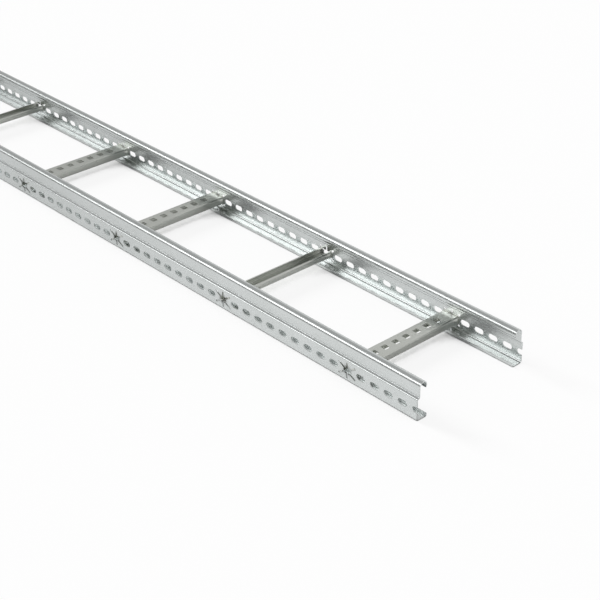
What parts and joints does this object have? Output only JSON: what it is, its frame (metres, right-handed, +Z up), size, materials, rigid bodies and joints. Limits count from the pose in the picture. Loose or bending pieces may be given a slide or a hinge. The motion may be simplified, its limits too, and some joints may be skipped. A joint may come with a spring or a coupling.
{
  "type": "cable ladder section",
  "caption": "Straight galvanised cable ladder section: two slotted side rails with rolled top edges joined by perforated and channel rungs.",
  "frame": {"origin": "middle of the underside, between the two rails and halfway along them", "axes": "+X along the ladder, +Y towards the left rail, +Z up, towards the open side that cables lie in"},
  "size_m": [3, 0.2, 0.055],
  "materials": {
    "rail_steel": "galvanised zinc, satin with faint rolling lines",
    "rung_steel": "galvanised zinc, a little duller than the rails"
  },
  "bodies": {
    "root": {"left_rail": "rail_steel", "right_rail": "rail_steel", "rung_01": "rung_steel", "rung_02": "rung_steel", "rung_03": "rung_steel", "rung_04": "rung_steel", "rung_05": "rung_steel", "rung_06": "rung_steel", "rung_07": "rung_steel", "rung_08": "rung_steel", "rung_09": "rung_steel", "rung_10": "rung_steel", "rung_11": "rung_steel", "rung_12": "rung_steel"}
  },
  "joints": []
}
